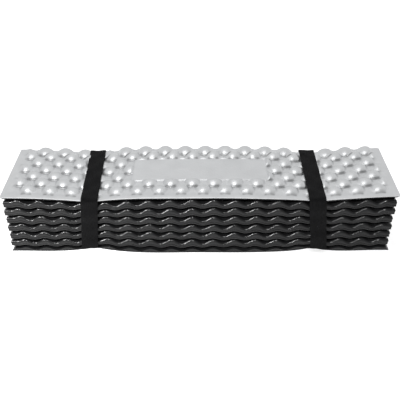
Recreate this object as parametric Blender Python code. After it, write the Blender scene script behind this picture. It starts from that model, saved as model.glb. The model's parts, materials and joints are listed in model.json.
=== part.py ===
"""Accordion-folded egg-crate foam sleeping pad, closed and held by two elastic straps.

The mat lies folded in a stack of panels. +X runs along the folds, +Y to the back and +Z up, and the origin
is on the floor under the middle of the stack. Panels are numbered from the bottom. Odd folds are at the
back and even folds at the front. Each panel is a foam slab with a metallised film on one face: the film
faces down on odd panels and up on even ones, because it is one face of the opened mat.
"""

import math

import bmesh
import bpy

# The mat, in metres
PAD_LENGTH = 0.560  # along the folds, which is the width of the opened mat
PANELS = 14
PITCH = 0.0072  # one panel of the closed stack
ROW = 0.130 / 7  # between two rows of bumps
ROWS = 7  # row spaces between neighbouring folds
WAVE = 0.0311  # between two bumps in one row
WAVE_START = -0.0113  # the X of a bump in the front row
BUMP = 0.0050  # height of a bump over the rim
GAP = 0.0003  # between pieces that touch
FILM = 0.0003
END_MARGIN = 0.014  # flat band at the two ends of a panel
RIM_MARGIN = 0.005  # flat band along the front and back of the top panel
CREASE_BULGE = 0.0034  # how far a folded crease stands out past the panels
CREASE_INSET = 0.0022  # how much lower than two panels a crease is, at its top and its bottom

# The flat plaque pressed into the top panel
PLAQUE_HALF_LENGTH = 0.101
PLAQUE_FRONT = -0.0215
PLAQUE_BACK = 0.036

# The elastic straps
STRAPS = {"left": -0.1566, "right": 0.1665}  # the X of each strap's middle
STRAP_WIDTH = 0.024
STRAP_THICK = 0.0012
STRAP_CORNER = 0.0048  # radius of the loop's outer corners
STRAP_ROOM = 0.001  # free width on each side of a strap in its channel
CHANNEL_BLEND = 0.0015  # how far past a strap its channel keeps its full depth
STRAP_CLEARANCE = 0.0005  # between a strap and the creases that it passes
LAP_LENGTH = 0.030  # where the strap's two ends overlap and are sewn

ROUNDING = 1e-6  # keeps a station that lies on an edge on the same side each time

# Worked out from the sizes above
FOLD_Y = ROW * ROWS / 2  # the fold axes are at plus and minus this Y
STACK = PANELS * PITCH - GAP
PANEL_THICK = PITCH - GAP
FOAM_THICK = PANEL_THICK - GAP - FILM
STRAP_FLOOR = GAP  # the straps' underside is this high over the floor
CHANNEL = STRAP_FLOOR + 2 * STRAP_THICK + 2 * GAP  # depth of the strap channels in the bottom panel


def clear_scene():
    for old in list(bpy.data.objects):
        bpy.data.objects.remove(old)


def principled(name, colour, roughness, metallic=0.0):
    material = bpy.data.materials.new(name)
    material.use_nodes = True
    shader = material.node_tree.nodes["Principled BSDF"]
    shader.inputs["Base Color"].default_value = (*colour, 1.0)
    shader.inputs["Roughness"].default_value = roughness
    shader.inputs["Metallic"].default_value = metallic
    return material


def add_object(name, data, collection, material):
    piece = bpy.data.objects.new(name, data)
    data.materials.append(material)
    collection.objects.link(piece)
    return piece


def stations(low, high, step, start, extra=()):
    """Coordinates from low to high: both ends, a regular step counted from start, and the extra ones."""
    first = math.ceil((low - start) / step)
    last = math.floor((high - start) / step)
    regular = [start + step * n for n in range(first, last + 1)]
    kept = [low, high, *extra]
    kept += [x for x in regular if all(abs(x - k) > step / 4 for k in kept)]
    return sorted(kept)


def plate(name, xs, ys, bottom, top, collection, material):
    """A closed plate between the heights bottom(x, y) and top(x, y), with a vertex at every x and y given."""
    mesh = bmesh.new()
    columns, rows = len(xs) - 1, len(ys) - 1
    bmesh.ops.create_grid(mesh, x_segments=columns, y_segments=rows, size=0.5)
    bmesh.ops.triangulate(mesh, faces=mesh.faces, quad_method="FIXED")
    for vertex in mesh.verts:
        column = round((vertex.co.x + 0.5) * columns)
        row = round((vertex.co.y + 0.5) * rows)
        x, y = xs[column], ys[row]
        vertex.co = (x, y, bottom(x, y))
    raised = bmesh.ops.extrude_face_region(mesh, geom=mesh.faces[:])["geom"]
    for vertex in raised:
        if isinstance(vertex, bmesh.types.BMVert):
            vertex.co.z = top(vertex.co.x, vertex.co.y)
    bmesh.ops.recalc_face_normals(mesh, faces=mesh.faces)
    bmesh.ops.dissolve_limit(mesh, angle_limit=math.radians(0.1), verts=mesh.verts, edges=mesh.edges)
    data = bpy.data.meshes.new(name)
    mesh.to_mesh(data)
    mesh.free()
    return add_object(name, data, collection, material)


def outlined(name, outlines, half_length, x, collection, material):
    """An outline in the YZ plane, each a list of (y, z), extruded to both sides of x."""
    curve = bpy.data.curves.new(name, "CURVE")
    curve.dimensions = "2D"
    curve.fill_mode = "BOTH"
    curve.extrude = half_length
    for outline in outlines:
        spline = curve.splines.new("POLY")
        spline.points.add(len(outline) - 1)
        for point, (y, z) in zip(spline.points, outline):
            point.co = (y, z, 0.0, 1.0)
        spline.use_cyclic_u = True
    piece = add_object(name, curve, collection, material)
    piece.rotation_euler = (math.pi / 2, 0.0, math.pi / 2)
    piece.location.x = x
    return piece


def rounded_outline(y_half, z_low, z_high, radius, steps=4):
    """A rectangle in Y and Z with round corners."""
    points = []
    corners = (
        (y_half - radius, z_high - radius, 0.0),
        (radius - y_half, z_high - radius, 0.5),
        (radius - y_half, z_low + radius, 1.0),
        (y_half - radius, z_low + radius, 1.5),
    )
    for y, z, start in corners:
        for step in range(steps + 1):
            angle = math.pi * (start + 0.5 * step / steps)
            points.append((y + radius * math.cos(angle), z + radius * math.sin(angle)))
    return points


def egg_crate(x, y):
    """The bump pattern, from -1 to 1, with a row of bumps on each fold axis."""
    along = math.cos(2 * math.pi * (x - WAVE_START) / WAVE)
    across = math.cos(math.pi * (y + FOLD_Y) / ROW)
    return along * across


def flat_here(x, y):
    """Whether the top panel has no bumps at this place."""
    along_plaque = abs(x) < PLAQUE_HALF_LENGTH + ROUNDING
    in_plaque = along_plaque and PLAQUE_FRONT - ROUNDING < y < PLAQUE_BACK + ROUNDING
    strap_half = STRAP_WIDTH / 2 + STRAP_ROOM + ROUNDING
    under_strap = any(abs(x - middle) < strap_half for middle in STRAPS.values())
    at_end = abs(x) > PAD_LENGTH / 2 - END_MARGIN
    at_rim = abs(y) > FOLD_Y - RIM_MARGIN
    return in_plaque or under_strap or at_end or at_rim


def bump_height(x, y):
    return 0.0 if flat_here(x, y) else BUMP * max(egg_crate(x, y), 0.0)


def channel_height(x, y):
    """The height of the bottom face of the lowest panel: it rises over the straps."""
    under_strap = any(abs(x - middle) < STRAP_WIDTH / 2 + CHANNEL_BLEND for middle in STRAPS.values())
    return CHANNEL if under_strap else 0.0


def strap_edges(room):
    """The X of both edges of each strap, with that much room beside it."""
    half = STRAP_WIDTH / 2 + room
    return [middle + side * half for middle in STRAPS.values() for side in (-1, 1)]


def panel_stations():
    """The X and Y stations of the top panel: the bumps, the plaque's sides and the straps' edges."""
    end, rim = PAD_LENGTH / 2, FOLD_Y - GAP / 2
    plaque_sides = [-PLAQUE_HALF_LENGTH, PLAQUE_HALF_LENGTH]
    xs = stations(-end, end, WAVE / 2, WAVE_START, strap_edges(STRAP_ROOM) + plaque_sides)
    ys = stations(-rim, rim, ROW / 2, -FOLD_Y, [PLAQUE_FRONT, PLAQUE_BACK])
    return xs, ys


def channel_stations():
    end, rim = PAD_LENGTH / 2, FOLD_Y - GAP / 2
    return sorted([-end, end, *strap_edges(STRAP_ROOM), *strap_edges(2 * STRAP_ROOM)]), [-rim, rim]


def slab_stations():
    end, rim = PAD_LENGTH / 2, FOLD_Y - GAP / 2
    return [-end, end], [-rim, rim]


def flat(x, y):
    return 0.0


def raised(height, relief):
    """A face at this height with that relief on it."""
    return lambda x, y: height + relief(x, y)


def panel(number, collection, foam, film):
    """One panel: its foam and the film on its upper or lower face."""
    low = (number - 1) * PITCH
    (xs, ys), relief = slab_stations(), flat
    if number == 1:
        (xs, ys), relief = channel_stations(), channel_height
    if number == PANELS:
        (xs, ys), relief = panel_stations(), bump_height
    if number % 2 == 0:
        foam_faces = raised(low, flat), raised(low + FOAM_THICK, relief)
        film_low = low + FOAM_THICK + GAP
    else:
        foam_low = low + FILM + GAP
        foam_faces = raised(foam_low, relief), raised(foam_low + FOAM_THICK, flat)
        film_low = low
    film_faces = raised(film_low, relief), raised(film_low + FILM, relief)
    plate(f"foam_panel_{number:02d}", xs, ys, *foam_faces, collection, foam)
    plate(f"film_panel_{number:02d}", xs, ys, *film_faces, collection, film)


def fold_side(number):
    """1 for a fold at the back, -1 for one at the front."""
    return 1 if number % 2 else -1


def crease(number, collection, foam):
    """The pressed foam that joins panel number and the next one: a half-oval bead along the fold."""
    side = fold_side(number)
    middle = number * PITCH - GAP / 2
    half_height = PITCH - GAP / 2 - CREASE_INSET
    back = FOLD_Y + GAP / 2
    steps = 8
    outline = []
    for step in range(steps + 1):
        angle = math.pi * (step / steps - 0.5)
        y = side * (back + CREASE_BULGE * math.cos(angle))
        outline.append((y, middle + half_height * math.sin(angle)))
    outlined(f"fold_crease_{number:02d}", [outline], PAD_LENGTH / 2, 0.0, collection, foam)


def strap(side, middle, collection, elastic):
    """One elastic strap: a loop round the closed stack, and the sewn lap of its two ends underneath."""
    inner_y = FOLD_Y + CREASE_BULGE + STRAP_CLEARANCE
    low, high = STRAP_FLOOR, STACK + GAP + STRAP_THICK
    outer = rounded_outline(inner_y + STRAP_THICK, low, high, STRAP_CORNER)
    inner_radius = STRAP_CORNER - STRAP_THICK
    inner = rounded_outline(inner_y, low + STRAP_THICK, high - STRAP_THICK, inner_radius)
    half_width = STRAP_WIDTH / 2
    outlined(f"strap_{side}_band", [outer, inner], half_width, middle, collection, elastic)
    lap_low = STRAP_FLOOR + STRAP_THICK + GAP
    ys = [-LAP_LENGTH / 2, LAP_LENGTH / 2]
    xs = [middle - half_width, middle + half_width]
    lap_faces = raised(lap_low, flat), raised(lap_low + STRAP_THICK, flat)
    plate(f"strap_{side}_lap", xs, ys, *lap_faces, collection, elastic)


def main():
    clear_scene()
    pad = bpy.data.collections.new("foam_sleeping_pad")
    bpy.context.scene.collection.children.link(pad)
    foam = principled("foam", (0.045, 0.045, 0.047), 0.75)
    film = principled("metallised_film", (0.72, 0.73, 0.75), 0.28, 0.9)
    elastic = principled("elastic_webbing", (0.012, 0.012, 0.013), 0.85)
    for number in range(1, PANELS + 1):
        panel(number, pad, foam, film)
    for number in range(1, PANELS):
        crease(number, pad, foam)
    for side, middle in STRAPS.items():
        strap(side, middle, pad, elastic)


main()
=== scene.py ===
"""Looks of the folded egg-crate sleeping pad: its silver top, its wavy foam folds and its two straps.

Every piece is first shaped in a straight stack, where panel number N lies between (N - 1) and N pitches. The
same warp then moves all the pieces: the straps squeeze the stack, and the foam is slightly uneven.
"""

import json
import math

import bpy
import numpy as np
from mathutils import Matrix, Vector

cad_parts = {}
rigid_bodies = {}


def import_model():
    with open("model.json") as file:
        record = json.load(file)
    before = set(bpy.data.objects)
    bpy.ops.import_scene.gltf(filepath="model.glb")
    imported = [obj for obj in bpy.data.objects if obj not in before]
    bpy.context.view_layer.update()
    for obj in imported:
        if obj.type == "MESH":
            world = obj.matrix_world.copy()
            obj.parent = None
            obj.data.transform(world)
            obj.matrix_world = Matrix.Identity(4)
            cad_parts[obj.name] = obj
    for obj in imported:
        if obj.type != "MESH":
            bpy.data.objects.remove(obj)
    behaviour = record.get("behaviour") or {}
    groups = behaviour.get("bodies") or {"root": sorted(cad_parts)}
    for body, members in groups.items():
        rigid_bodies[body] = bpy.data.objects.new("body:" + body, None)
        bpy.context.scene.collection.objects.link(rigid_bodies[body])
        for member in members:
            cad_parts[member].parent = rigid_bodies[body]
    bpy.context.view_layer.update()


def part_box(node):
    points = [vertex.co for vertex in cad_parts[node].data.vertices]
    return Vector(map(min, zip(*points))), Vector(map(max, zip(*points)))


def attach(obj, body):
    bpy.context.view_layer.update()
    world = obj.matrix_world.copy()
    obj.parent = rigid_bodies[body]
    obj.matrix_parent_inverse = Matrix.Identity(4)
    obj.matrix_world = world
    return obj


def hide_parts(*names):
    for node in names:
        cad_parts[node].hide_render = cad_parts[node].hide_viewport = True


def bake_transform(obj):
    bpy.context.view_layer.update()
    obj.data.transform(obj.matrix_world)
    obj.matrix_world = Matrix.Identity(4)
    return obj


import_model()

# The stack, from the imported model, in metres
PANELS = 14
FIRST_LOW, FIRST_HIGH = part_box("film_panel_01")
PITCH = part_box("foam_panel_03")[0].z / 2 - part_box("foam_panel_01")[0].z / 2
GAP = 0.0003
PANEL_THICK = PITCH - GAP
HALF_LENGTH = FIRST_HIGH.x
FOLD_Y = FIRST_HIGH.y + GAP / 2
STACK = PANELS * PITCH - GAP
FILM = 0.0003
SKIN_GAP = 0.00008  # between the foam and its film

# The egg-crate relief
ROWS = 7  # row spaces between neighbouring folds
ROW = FOLD_Y * 2 / ROWS
WAVE = 0.0311
WAVE_START = -0.0113
TOP_WAVE = 0.0315  # the same on the top panel, which is stretched a little
TOP_START = -0.0111
RELIEF = 0.0025  # the wave of the whole panel, either way
PLATEAU = 0.0075  # how far in from a fold the relief runs straight
END_MARGIN = 0.011
END_FADE = 0.010
DOME = 0.0060  # from the pits to the tops of the bumps
DOME_REACH = (0.0116, 0.0122)  # how far a bump reaches along X and Y
BACK_SHIFT = 0.0038  # how far the bumps on the top's back edge are pulled along X
FRONT_ROW_SHARE = 0.10  # the bumps on the top's front edge are pressed nearly flat
PIT = 0.0014  # how far the pits lie under the rim
TOP_RIM = 0.006  # flat band along the front edge of the top
PLAQUE = {"half_length": 0.101, "front": -0.0214, "back": 0.0358}

# The folds and the free edges
TAPER = 0.013  # how far from a fold a panel starts to thin
FOLD_THICK = 0.0051  # a panel's mean thickness at a fold
LENS = 0.0011  # how much thicker it is there at a crest of the wave
BULGE = 0.0034  # how far a crease stands out past the fold axis
RIM_OUT = 0.0034  # how far the two free edges reach past the fold axes
CREASE_SKIN = 0.0006  # how far the foam of a back crease lies inside its film
CREASE_INNER = 0.0022  # how far a crease reaches in from the fold axis
CREASE_GROOVE = 0.0005  # the fine line pressed along each front crease
RIM_THICK = 0.0026
RIM_DROP = 0.0005  # how far the top film's front edge bends down
RIM_WAVE = 0.0024  # how far the lowest panel's front edge waves, either way
TOP_OVERHANG = 0.0024  # how much longer the top panel is at each end
FILM_SHORT = 0.0025  # how much less the lowest film reaches out than its foam
END_RECESS = 0.0042  # how far the foam side is cut back at the two ends

# The straps and how they squeeze the stack
STRAP_THICK = 0.0013
STRAP_CORNER = 0.0052
DOME_UNDER_STRAP = 0.62
STRAPS = {
    "left": {
        "dip": 0.0062,  # how far it pulls the top down
        "rise": 0.0085,  # how far it pulls the bottom up
        "inward": 0.050,  # the length over which the stack recovers, towards the middle
        "outward": 0.060,  # and towards the end
        "end_low": 0.0022,  # how far the bottom of the stack's end rises past it
        "end_top": 0.0012,  # and the top
        "slant": -0.0075,  # how far along X its bottom lies from its top
        "lean": -0.0046,  # and its back top corner from its front one
    },
    "right": {
        "dip": 0.0054,
        "rise": 0.0078,
        "inward": 0.038,
        "outward": 0.048,
        "end_low": 0.0050,
        "end_top": 0.0026,
        "slant": 0.0100,
        "lean": 0.0018,
    },
}
for side, strap in STRAPS.items():
    low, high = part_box(f"strap_{side}_band")
    strap["middle"] = (low.x + high.x) / 2
    strap["half"] = (high.x - low.x) / 2

# Spacing of the mesh points: of the top panel, and of the others along X and Y
FINE_STEP, STEP_X, STEP_Y = 0.0013, 0.0037, 0.0050

# Between the straps, the back of the stack stands further out and up than at its ends
SWELL_ENDS = (0.125, 0.16)
SWELL_UP, SWELL_BACK = 0.0014, 0.0024

# The camera, in millimetres of lens, metres and degrees
CAMERA_LENS, CAMERA_PLACE, CAMERA_DOWN = 55.7, (0.0, -0.7821, 0.598), 35.1

RANDOM = np.random.default_rng(11)
TEETH = RANDOM.normal(0.0008, 0.0007, (PANELS + 1, 2))  # how unevenly the panels were cut, at each end


# ---------------------------------------------------------------- shape of the relief


def smooth(low, high, value):
    """0 below low, 1 above high, and an S curve between them."""
    t = np.clip((value - low) / (high - low), 0.0, 1.0)
    return t * t * (3 - 2 * t)


def end_fade(x):
    edge = HALF_LENGTH - END_MARGIN
    return 1 - smooth(edge - END_FADE, edge + END_FADE / 2, np.abs(x))


def wave(x, length=WAVE, start=WAVE_START):
    """The wave along a fold: 1 over a bump of the front row, and -1 between two."""
    return np.cos(2 * math.pi * (x - start) / length) * end_fade(x)


def across(y):
    """The relief from front to back: it turns at each row, and runs straight near the folds."""
    rows_in = np.clip((FOLD_Y - np.abs(y) - PLATEAU) / (ROW - PLATEAU), 0, 1)
    held = np.where(np.abs(y) < FOLD_Y - ROW, y, np.sign(y) * (FOLD_Y - ROW * rows_in))
    return np.cos(math.pi * (held + FOLD_Y) / ROW)


def crate(x, y):
    return wave(x) * across(y)


def domes(x, y):
    """The bumps of the film side: their shape, from 0 in the pits to 1 on top, and a mask for painted shade,
    1 at their front feet.
    """
    highest, feet = np.zeros((2, *np.broadcast(x, y).shape))
    for row in range(ROWS + 1):
        start = TOP_START + (row % 2) * TOP_WAVE / 2 + BACK_SHIFT * (row == ROWS)
        aside = x - start - TOP_WAVE * np.round((x - start) / TOP_WAVE)
        ahead = y + FOLD_Y - row * ROW
        if row == ROWS:
            ahead = np.clip(ahead + PLATEAU, None, 0)
        away = np.hypot(aside / DOME_REACH[0], ahead / DOME_REACH[1])
        shape = 1 - 0.45 * away**1.6 - 0.55 * away**3
        share = FRONT_ROW_SHARE if row == 0 else 1.0
        highest = np.maximum(highest, share * np.where(away < 1, shape, 0.0))
        # Painted shade mask: a ring at each bump's front foot, where the film colour is darkened
        ring = smooth(0.74, 0.90, away) * (1 - smooth(1.04, 1.16, away))
        in_front = smooth(0.55, 0.85, -ahead / DOME_REACH[1] / np.maximum(away, 0.1))
        feet = np.maximum(feet, share * ring * in_front)
    return highest, feet


def plaque_mask(x, y, edge=0.0018):
    """1 on the flat plaque in the middle of the top, and 0 outside it."""
    along = 1 - smooth(PLAQUE["half_length"] - edge, PLAQUE["half_length"] + edge, np.abs(x))
    front = smooth(PLAQUE["front"] - edge, PLAQUE["front"] + edge, y)
    back = 1 - smooth(PLAQUE["back"] - edge, PLAQUE["back"] + edge, y)
    return along * front * back


def strap_mask(x, spread=0.003):
    """1 under a strap, and 0 from a little way beside it."""
    under = np.zeros(np.shape(x))
    for strap in STRAPS.values():
        away = np.abs(x - strap["middle"]) - strap["half"]
        under = np.maximum(under, 1 - smooth(-spread / 2, spread, away))
    return under


def bumpy(x, y):
    """1 where the top panel has bumps, and 0 on its flat margins and its plaque."""
    rim = smooth(TOP_RIM - 0.003, TOP_RIM + 0.003, y + FOLD_Y)
    edge = HALF_LENGTH - END_MARGIN
    ends = 1 - smooth(edge - END_FADE / 2, edge + END_FADE / 2, np.abs(x))
    return rim * ends * (1 - plaque_mask(x, y))


def top_relief(x, y):
    """Height of the top panel's film over the straight stack."""
    pressed = 1 - (1 - DOME_UNDER_STRAP) * strap_mask(x)
    height = DOME * domes(x, y)[0] * pressed - PIT
    height = height * bumpy(x, y)
    return height - RIM_DROP * (1 - smooth(0, 0.0018, y + FOLD_Y + RIM_OUT))


# ---------------------------------------------------------------- the warp of the whole stack


def squeeze(x):
    """How far the bottom and the top of the stack move up at each x."""
    bottom, top = np.zeros(np.shape(x)), np.zeros(np.shape(x))
    for strap in STRAPS.values():
        outward = (x * strap["middle"] > 0) & (np.abs(x) > abs(strap["middle"]))
        away = np.clip(np.abs(x - strap["middle"]) - strap["half"] * 0.6, 0, None)
        reach = np.where(outward, strap["outward"], strap["inward"])
        press = np.exp(-away / reach)
        out = smooth(abs(strap["middle"]), HALF_LENGTH, np.abs(x)) * outward
        bottom = bottom + strap["rise"] * np.exp(-away / (reach * 0.62)) + strap["end_low"] * out
        top = top - strap["dip"] * press + strap["end_top"] * out
    return bottom, top


def warp(points):
    """Moves points of the straight stack to where they lie in the strapped one."""
    x, y, z = points[:, 0], points[:, 1], points[:, 2]
    share = z / STACK
    bottom, top = squeeze(x)
    uneven = 0.00035 * np.sin(23 * x + 60 * z + 1.0) + 0.0003 * np.sin(61 * x - 140 * z)
    uneven = uneven * np.clip(share, 0, 1) * np.clip(1 - share, 0, 1) * 4
    new = points.copy()
    new[:, 2] = z + bottom * (1 - share) + top * share + uneven
    swell = (1 - smooth(*SWELL_ENDS, np.abs(x))) * np.clip(share, 0, 1.1)
    new[:, 2] += SWELL_UP * swell * smooth(-0.01, FOLD_Y, y)
    sway = 0.0006 * np.sin(17 * x + 95 * z) + 0.0004 * np.sin(47 * x - 210 * z + 2.0)
    new[:, 1] += sway * smooth(FOLD_Y - 0.02, FOLD_Y, np.abs(y))
    new[:, 1] += SWELL_BACK * swell * smooth(0.02, FOLD_Y, y)
    return new


# ---------------------------------------------------------------- meshes


def mesh_object(name, points, faces, material, sharp=50.0):
    mesh = bpy.data.meshes.new(name)
    mesh.from_pydata([tuple(p) for p in points], [], faces)
    mesh.validate()
    mesh.shade_smooth()
    mesh.set_sharp_from_angle(angle=math.radians(sharp))
    mesh.materials.append(material)
    piece = bpy.data.objects.new(name, mesh)
    bpy.context.scene.collection.objects.link(piece)
    return piece


def loft(rings):
    """Points and faces of a closed tube through rings of as many points each, with its two ends filled."""
    count = len(rings[0])
    points = np.concatenate(rings)
    faces = []
    for k in range(len(rings) - 1):
        for i in range(count):
            j = (i + 1) % count
            faces.append((k * count + i, k * count + j, (k + 1) * count + j, (k + 1) * count + i))
    last = (len(rings) - 1) * count
    faces.append(tuple(reversed(range(count))))
    faces.append(tuple(range(last, last + count)))
    return points, faces


def slab(xs, ys, upper, lower, wall=()):
    """A closed plate between two height grids. Each row of wall is (share of the way down, inset)."""
    nx, ny = len(xs[0]), len(ys)
    top_x, low_x = xs
    tops = np.stack([*np.meshgrid(top_x, ys, indexing="ij"), upper], axis=-1).reshape(-1, 3)
    lows = np.stack([*np.meshgrid(low_x, ys, indexing="ij"), lower], axis=-1).reshape(-1, 3)
    index = np.arange(nx * ny).reshape(nx, ny)
    corners = np.stack([index[:-1, :-1], index[1:, :-1], index[1:, 1:], index[:-1, 1:]], axis=-1)
    corners = corners.reshape(-1, 4)
    faces = corners.tolist() + (corners[:, ::-1] + nx * ny).tolist()
    rim = np.concatenate([index[:-1, 0], index[-1, :-1], index[:0:-1, -1], index[0, :0:-1]])
    loops, points = [rim], [tops, lows]
    made = 2 * nx * ny
    centre_y = (ys[0] + ys[-1]) / 2
    for share, inset in wall:
        row = tops[rim] * (1 - share) + lows[rim] * share
        at_end = np.isin(rim, np.concatenate([index[0], index[-1]]))
        row[:, 0] -= np.sign(row[:, 0]) * inset * at_end
        row[:, 1] -= np.sign(row[:, 1] - centre_y) * np.where(at_end, 0.0, inset * 0.3)
        points.append(row)
        loops.append(np.arange(made, made + len(rim)))
        made += len(rim)
    loops.append(rim + nx * ny)
    for first, second in zip(loops[:-1], loops[1:]):
        a, b = np.roll(first, -1), np.roll(second, -1)
        faces += np.stack([first, second, b, a], axis=-1).tolist()
    return np.concatenate(points), faces


def place(piece, body, slot, *nodes):
    """Makes a piece ride on its body and stand for those CAD nodes."""
    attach(piece, body)
    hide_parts(*nodes)


# ---------------------------------------------------------------- materials


def new_material(name):
    material = bpy.data.materials.new(name)
    material.use_nodes = True
    shader = material.node_tree.nodes["Principled BSDF"]
    return material, material.node_tree, shader


def node(tree, kind, **settings):
    made = tree.nodes.new(kind)
    for key, value in settings.items():
        if key in made.inputs:
            made.inputs[key].default_value = value
        else:
            setattr(made, key, value)
    return made


def noise(tree, where, scale, detail=3.0, roughness=0.5, distortion=0.0):
    settings = {"Scale": scale, "Detail": detail, "Roughness": roughness, "Distortion": distortion}
    made = node(tree, "ShaderNodeTexNoise", **settings)
    tree.links.new(where, made.inputs["Vector"])
    return made.outputs["Fac"]


def spread(tree, value, low, high, start=0.0, end=1.0):
    """That value, moved from start..end to low..high."""
    made = node(tree, "ShaderNodeMapRange")
    for key, number in (("From Min", start), ("From Max", end), ("To Min", low), ("To Max", high)):
        made.inputs[key].default_value = number
    tree.links.new(value, made.inputs["Value"])
    return made.outputs["Result"]


def mixed(tree, value, first, second):
    """A colour between first and second by that value."""
    ramp = node(tree, "ShaderNodeValToRGB")
    ramp.color_ramp.elements[0].color = (*first, 1)
    ramp.color_ramp.elements[1].color = (*second, 1)
    tree.links.new(value, ramp.inputs["Fac"])
    return ramp.outputs["Color"]


def bumped(tree, height, distance, strength=1.0, under=None):
    made = node(tree, "ShaderNodeBump", Distance=distance, Strength=strength)
    tree.links.new(height, made.inputs["Height"])
    if under is not None:
        tree.links.new(under, made.inputs["Normal"])
    return made.outputs["Normal"]


def foam_material():
    material, tree, shader = new_material("closed_cell_foam")
    where = node(tree, "ShaderNodeTexCoord").outputs["Object"]
    clouds = noise(tree, where, 38.0, 4.0)
    grain = noise(tree, where, 1500.0, 2.0)
    cells = noise(tree, where, 420.0, 3.0, 0.6)
    colour = mixed(tree, clouds, (0.0025, 0.0025, 0.0027), (0.005, 0.005, 0.0053))
    tree.links.new(colour, shader.inputs["Base Color"])
    tree.links.new(spread(tree, clouds, 0.26, 0.31, 0.3, 0.7), shader.inputs["Roughness"])
    skin = bumped(tree, cells, 0.0002, 0.07)
    tree.links.new(bumped(tree, grain, 0.0001, 0.08, skin), shader.inputs["Normal"])
    shader.inputs["Specular IOR Level"].default_value = 0.25
    return material


def film_material():
    material, tree, shader = new_material("metallised_film")
    where = node(tree, "ShaderNodeTexCoord").outputs["Object"]
    clouds = noise(tree, where, 45.0, 4.0)
    crinkle = noise(tree, where, 330.0, 4.0, 0.55, 0.6)
    pleats = noise(tree, where, 120.0, 2.0, 0.5, 1.2)
    silver = mixed(tree, clouds, (0.62, 0.63, 0.64), (0.74, 0.75, 0.76))
    # Painted shade: the silver is darkened to about half at the front feet of the top bumps, where shade
    # falls
    painted_shade = node(tree, "ShaderNodeAttribute", attribute_name="painted_shade").outputs["Fac"]
    shaded_silver = node(tree, "ShaderNodeVectorMath", operation="SCALE")
    tree.links.new(silver, shaded_silver.inputs[0])
    tree.links.new(spread(tree, painted_shade, 1.0, 0.48), shaded_silver.inputs["Scale"])
    tree.links.new(shaded_silver.outputs["Vector"], shader.inputs["Base Color"])
    tree.links.new(spread(tree, clouds, 0.40, 0.48, 0.3, 0.7), shader.inputs["Roughness"])
    soft = bumped(tree, pleats, 0.0012, 0.22)
    tree.links.new(bumped(tree, crinkle, 0.0004, 0.35, soft), shader.inputs["Normal"])
    shader.inputs["Metallic"].default_value = 0.85
    return material


def elastic_material():
    material, tree, shader = new_material("elastic_webbing")
    where = node(tree, "ShaderNodeTexCoord").outputs["Object"]
    across = node(tree, "ShaderNodeTexWave", Scale=130.0, Distortion=0.3)
    across.bands_direction = "X"
    tree.links.new(where, across.inputs["Vector"])
    lengths = node(tree, "ShaderNodeAttribute", attribute_name="along")
    weave = node(tree, "ShaderNodeTexWave", Scale=260.0, Distortion=0.5)
    weave.bands_direction = "X"
    tree.links.new(lengths.outputs["Vector"], weave.inputs["Vector"])
    lint = noise(tree, where, 260.0, 3.0)
    colour = mixed(tree, lint, (0.005, 0.005, 0.0053), (0.011, 0.011, 0.0117))
    tree.links.new(colour, shader.inputs["Base Color"])
    ribs = bumped(tree, across.outputs["Fac"], 0.0003, 0.6)
    tree.links.new(bumped(tree, weave.outputs["Fac"], 0.0002, 0.5, ribs), shader.inputs["Normal"])
    shader.inputs["Roughness"].default_value = 0.72
    shader.inputs["Specular IOR Level"].default_value = 0.05
    shader.inputs["Sheen Weight"].default_value = 0.02
    shader.inputs["Sheen Roughness"].default_value = 0.5
    return material


# ---------------------------------------------------------------- panels


def x_stations(step):
    """From one end to the other, denser in the last few millimetres."""
    inner = np.linspace(-HALF_LENGTH + 0.012, HALF_LENGTH - 0.012, round(2 * HALF_LENGTH / step))
    outer = HALF_LENGTH - np.array([0.0, 0.0010, 0.0022, 0.0040, 0.0062, 0.0090])
    return np.concatenate([-outer, inner, outer[::-1]])


def y_stations(step, front=0.0):
    """From the front edge to the back one, denser near both; a free front edge reaches further out."""
    inner = np.linspace(-FOLD_Y + 0.012, FOLD_Y - 0.012, round(2 * FOLD_Y / step))
    steps = np.array([0.0, 0.0008, 0.0018, 0.0032, 0.0055, 0.0085])
    first = -FOLD_Y - front + GAP / 2 + steps * (1 + front / 0.012)
    return np.concatenate([first, inner, (FOLD_Y - GAP / 2 - steps)[::-1]])


def at_end(number, x, recess):
    """x with its two ends moved to where this panel was cut."""
    near = smooth(HALF_LENGTH - 0.014, HALF_LENGTH, np.abs(x))
    pair = number // 2
    cut = np.where(x < 0, TEETH[pair][0], TEETH[pair][1]) if number < PANELS else TOP_OVERHANG
    return x + np.sign(x) * near * (cut - recess)


def panel_heights(number, x, y):
    """The lower and upper face of a panel in the straight stack, on a grid."""
    relief = RELIEF * crate(x, y)
    low = (number - 1) * PITCH + relief
    high = low + PANEL_THICK
    front = 1 - smooth(-0.002, TAPER, y + FOLD_Y)
    back = 1 - smooth(-0.002, TAPER, FOLD_Y - y)
    pinch = PANEL_THICK - FOLD_THICK - LENS * wave(x)
    if number % 2 == 0:
        low = low + pinch * front
        high = high - pinch * back
    else:
        high = high - pinch * front
        low = low + pinch * back
    if number == 1:
        low = np.clip(relief, 0, None) * (1 - front) * (1 - back) + pinch * back
        front = 1 - smooth(0, TAPER, y + FOLD_Y + RIM_OUT)
        high = PANEL_THICK + relief * (1 - front) - RIM_WAVE * (1 - wave(x)) * front
    if number == PANELS:
        base = (number - 1) * PITCH
        rim = 1 - smooth(0, 0.010, y + FOLD_Y + RIM_OUT)
        high = STACK + top_relief(x, y)
        low = base + relief * (1 - rim) + (PANEL_THICK - RIM_THICK) * rim
    return low, high


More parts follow.
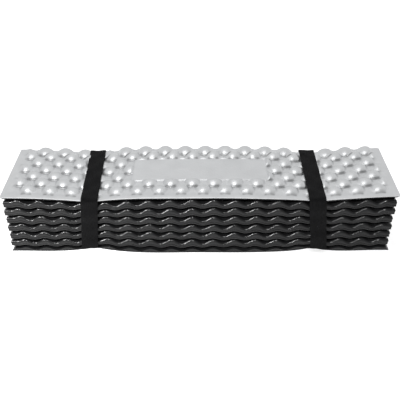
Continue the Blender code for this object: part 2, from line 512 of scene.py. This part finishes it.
def panel(number, foam, film):
    """The foam and the film of one panel."""
    film_up = number % 2 == 0
    fine = number == PANELS
    front = RIM_OUT if number in (1, PANELS) else 0.0
    x = x_stations(FINE_STEP if fine else STEP_X)
    y = y_stations(FINE_STEP if fine else STEP_Y, front)
    body = f"panel_{number:02d}"
    grid_x, grid_y = np.meshgrid(x, y, indexing="ij")
    low, high = panel_heights(number, grid_x, grid_y)
    edge, cut = at_end(number, x, 0.0), at_end(number, x, END_RECESS)
    skin = FILM + SKIN_GAP
    foam_low = low + skin
    if number == 1:
        foam_low = low + skin * smooth(0.0, 0.004, grid_y + FOLD_Y + RIM_OUT)
    if film_up:
        foam_shape = slab((edge, cut), y, high - skin, low, ((0.25, 0.0016), (0.6, 0.0012)))
        film_shape = slab((edge, edge), y, high, high - FILM)
    else:
        foam_shape = slab((cut, edge), y, high, foam_low, ((0.4, 0.0012), (0.75, 0.0016)))
        film_y = y_stations(STEP_Y, RIM_OUT - FILM_SHORT) if number == 1 else y
        film_shape = slab((edge, edge), film_y, low + FILM, low)
    for kind, (points, faces), material in (("foam", foam_shape, foam), ("film", film_shape, film)):
        piece = mesh_object(f"pad_{kind}_{number:02d}", warp(points), faces, material)
        slot = "foam" if kind == "foam" else "metallised_film"
        place(piece, body, slot, f"{kind}_panel_{number:02d}")
        if kind == "foam":
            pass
        elif number == PANELS:
            # Painted shade: a mask that darkens the top film's colour at the bumps' front feet, where shade
            # falls
            painted_shade = piece.data.attributes.new("painted_shade", "FLOAT", "POINT")
            x, y = points[:, 0], points[:, 1]
            painted_shade.data.foreach_set("value", (domes(x, y)[1] * bumpy(x, y)).astype(np.float32))


# ---------------------------------------------------------------- folds


def fold(number, foam, film):
    """The crease between a panel and the next one: a pressed bead, silver outside at the back."""
    side = 1 if number % 2 else -1
    middle = number * PITCH - GAP / 2
    kinds = [("foam", foam, 0.0, HALF_LENGTH - END_RECESS * 0.5)]
    if side > 0:
        kinds = [("foam", foam, CREASE_SKIN, HALF_LENGTH - END_RECESS), ("film", film, 0.0, HALF_LENGTH)]
    turns = np.linspace(-1, 1, 21)
    x = x_stations(STEP_X)
    for kind, material, shrink, reach in kinds:
        rings, places = [], []
        stations = at_end(number, x, HALF_LENGTH - reach)
        edge = side * (FOLD_Y - GAP / 2)
        bottom = panel_heights(number, stations, edge)[0] + shrink
        top = panel_heights(number + 1, stations, edge)[1] - shrink
        for along, low, high in zip(stations, bottom, top):
            reach_y = BULGE * (1 + 0.10 * math.sin(31 * along + number)) - shrink
            groove = CREASE_GROOVE * np.exp(-((turns + 0.20) / 0.11) ** 2)
            out = FOLD_Y - 0.0002 + reach_y * (1 - np.abs(turns) ** 3.6) ** 0.55 - groove * (side < 0)
            inner = np.array([0.7, 0.0, -0.7])
            us = np.concatenate([turns, inner])
            ys = side * np.concatenate([out, np.full(3, FOLD_Y - CREASE_INNER)])
            xs, zs = np.full(len(us), along), (low + high) / 2 + (high - low) / 2 * us
            rings.append(np.stack([xs, ys, zs], axis=-1))
            places.append(np.stack([xs, ys, middle + PITCH / 2 * us], axis=-1))
        if side < 0:
            rings = [ring[::-1] for ring in rings]
            places = [ring[::-1] for ring in places]
        points, faces = loft(places)
        piece = mesh_object(f"pad_fold_{kind}_{number:02d}", points, faces, material, 60.0)
        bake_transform(piece)
        final = warp(np.concatenate(rings))
        piece.data.vertices.foreach_set("co", final.astype(np.float32).ravel())
        piece.data.update()
        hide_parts(f"fold_crease_{number:02d}")


# ---------------------------------------------------------------- straps


def loop_path(count):
    """The strap's inner line round the straight stack, as (y, z) points and outward directions."""
    half_y = FOLD_Y + BULGE + 0.0005
    low, high = -0.0002, STACK + DOME * DOME_UNDER_STRAP - PIT + 0.0001
    radius = STRAP_CORNER - STRAP_THICK
    corners = ((half_y, high, 0), (-half_y, high, 90), (-half_y, low, 180), (half_y, low, 270))
    line = []
    for y, z, start in corners:
        centre = (y - math.copysign(radius, y), z - math.copysign(radius, z - STACK / 2))
        for step in range(9):
            angle = math.radians(start + 90 * step / 8)
            line.append((centre[0] + radius * math.cos(angle), centre[1] + radius * math.sin(angle)))
    line = np.array(line + line[:1])
    lengths = np.concatenate([[0], np.cumsum(np.hypot(*np.diff(line, axis=0).T))])
    at = np.linspace(0, lengths[-1], count, endpoint=False)
    path = np.stack([np.interp(at, lengths, line[:, k]) for k in (0, 1)], axis=-1)
    ahead = np.roll(path, -1, axis=0) - np.roll(path, 1, axis=0)
    out = np.stack([ahead[:, 1], -ahead[:, 0]], axis=-1)
    return path, out / np.linalg.norm(out, axis=1)[:, None], at


def strap_section(half):
    """The webbing cut across: (x, thickness) points round it, thin at its edges."""
    across = np.linspace(-1, 1, 17)
    crown = STRAP_THICK * (0.55 + 0.45 * (1 - np.abs(across) ** 6))
    outer = np.stack([across * half, crown], axis=-1)
    inner = np.stack([across[::-1] * half * 0.985, np.full(17, 0.0)], axis=-1)
    return np.concatenate([outer, inner])


def store_lengths(piece, lengths):
    """Gives each point its length along the webbing, which the weave follows."""
    along = piece.data.attributes.new("along", "FLOAT_VECTOR", "POINT")
    vector = np.zeros((len(lengths), 3), np.float32)
    vector[:, 0] = lengths
    along.data.foreach_set("vector", vector.ravel())


def strap_band(side, strap, elastic):
    path, out, at = loop_path(340)
    section = strap_section(strap["half"])
    rings = []
    for (y, z), (out_y, out_z) in zip(path, out):
        x = strap["middle"] + section[:, 0] + strap["slant"] * (1 - z / STACK)
        x = x + strap["lean"] * (z / STACK) * (y + FOLD_Y) / (2 * FOLD_Y)
        on_top = float(smooth(0.6, 0.95, out_z))
        ripple = 0.0007 * crate(x, y) * on_top
        high = section[:, 1] + ripple
        rings.append(np.stack([x, y + out_y * high, z + out_z * high], axis=-1))
    count = len(section)
    points = np.concatenate(rings)
    faces = []
    for k in range(len(rings)):
        after = (k + 1) % len(rings)
        for i in range(count):
            j = (i + 1) % count
            faces.append((k * count + i, k * count + j, after * count + j, after * count + i))
    piece = mesh_object(f"strap_{side}_webbing", warp(points), faces, elastic, 60.0)
    store_lengths(piece, np.repeat(at, count))
    place(piece, f"strap_{side}", "elastic_webbing", f"strap_{side}_band")


def strap_lap(side, strap, elastic):
    """The end of the webbing, which laps over its start under the pad and is sewn down."""
    low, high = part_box(f"strap_{side}_lap")
    y = np.linspace(low.y, high.y, 25)
    section = strap_section(strap["half"] * 0.985)
    rings = []
    for along in y:
        x = strap["middle"] + section[:, 0] + strap["slant"]
        rings.append(np.stack([x, np.full(len(x), along), -0.0003 - STRAP_THICK - section[:, 1]], axis=-1))
    points, faces = loft([ring[::-1] for ring in rings])
    piece = mesh_object(f"strap_{side}_end", warp(points), faces, elastic, 60.0)
    store_lengths(piece, np.repeat(y, len(section)))
    place(piece, f"strap_{side}", "elastic_webbing", f"strap_{side}_lap")


# ---------------------------------------------------------------- camera, floor and light


def studio(foam_pieces):
    camera_data = bpy.data.cameras.new("camera")
    camera_data.lens = CAMERA_LENS
    camera = bpy.data.objects.new("camera", camera_data)
    camera.location = CAMERA_PLACE
    camera.rotation_euler = (math.radians(90 - CAMERA_DOWN), 0, 0)
    bpy.context.scene.collection.objects.link(camera)
    bpy.context.scene.camera = camera

    material, tree, shader = new_material("studio_floor")
    shader.inputs["Base Color"].default_value = (0.92, 0.92, 0.92, 1)
    shader.inputs["Roughness"].default_value = 0.9
    shader.inputs["Emission Color"].default_value = (1, 1, 1, 1)
    where = node(tree, "ShaderNodeTexCoord").outputs["Object"]
    parts = node(tree, "ShaderNodeSeparateXYZ")
    tree.links.new(where, parts.inputs[0])
    # Painted light: the floor glows, at 0.62 everywhere and up to about 1.6 towards the front and the left,
    # where its glow lights the front of the pad like a lamp
    ahead = spread(tree, parts.outputs["Y"], 0.98, 0.0, -0.10, 0.02)
    left = spread(tree, parts.outputs["X"], 1.0, 0.0, -0.28, 0.28)
    lit = node(tree, "ShaderNodeMath", operation="MULTIPLY_ADD")
    tree.links.new(ahead, lit.inputs[0])
    tree.links.new(left, lit.inputs[1])
    lit.inputs[2].default_value = 0.62
    tree.links.new(lit.outputs["Value"], shader.inputs["Emission Strength"])
    size = 6.0
    points = [(-size, -size, 0), (size, -size, 0), (size, size, 0), (-size, size, 0)]
    floor = mesh_object("studio_floor", np.array(points) - (0, 0, 0.0002), [(0, 1, 2, 3)], material)

    def area(name, place, aim, width, height, power, only=None):
        light = bpy.data.lights.new(name, "AREA")
        light.shape = "RECTANGLE"
        light.size, light.size_y, light.energy = width, height, power
        lamp = bpy.data.objects.new(name, light)
        lamp.location = place
        direction = np.array(aim) - np.array(place)
        flat = math.hypot(direction[0], direction[1])
        lamp.rotation_euler = (math.atan2(flat, -direction[2]), 0, math.atan2(-direction[0], direction[1]))
        bpy.context.scene.collection.objects.link(lamp)
        if only is not None:
            lamp.light_linking.receiver_collection = only

    area("key", (-0.27, -0.24, 1.15), (-0.20, -0.05, 0.05), 0.38, 0.36, 3.2)
    area("overhead", (-0.12, -0.02, 1.15), (-0.12, 0.0, 0.1), 0.62, 0.62, 1.4)
    area("edge left", (-0.95, -0.75, 1.05), (-0.05, -0.07, 0.05), 0.34, 0.26, 62.0, foam_pieces)
    area("edge middle", (0.02, -0.98, 1.12), (-0.25, -0.07, 0.05), 0.22, 0.20, 20.0, foam_pieces)

    world = bpy.data.worlds.new("studio")
    world.use_nodes = True
    tree = world.node_tree
    back = tree.nodes["Background"]
    way = node(tree, "ShaderNodeTexCoord").outputs["Generated"]
    parts = node(tree, "ShaderNodeSeparateXYZ")
    tree.links.new(way, parts.inputs[0])
    bright = spread(tree, parts.outputs["Y"], 0.26, 0.80, -0.50, 0.1)
    tree.links.new(bright, back.inputs["Strength"])
    back.inputs["Color"].default_value = (1, 1, 1, 1)
    bpy.context.scene.world = world
    bpy.context.scene.view_settings.view_transform = "Standard"


foam, film, elastic = foam_material(), film_material(), elastic_material()
for number in range(1, PANELS + 1):
    panel(number, foam, film)
for number in range(1, PANELS):
    fold(number, foam, film)
for side, strap in STRAPS.items():
    strap_band(side, strap, elastic)
    strap_lap(side, strap, elastic)
foam_pieces = bpy.data.collections.new("foam_pieces")
for piece in bpy.context.scene.objects:
    if piece.type == "MESH" and foam.name in piece.data.materials:
        foam_pieces.objects.link(piece)
studio(foam_pieces)
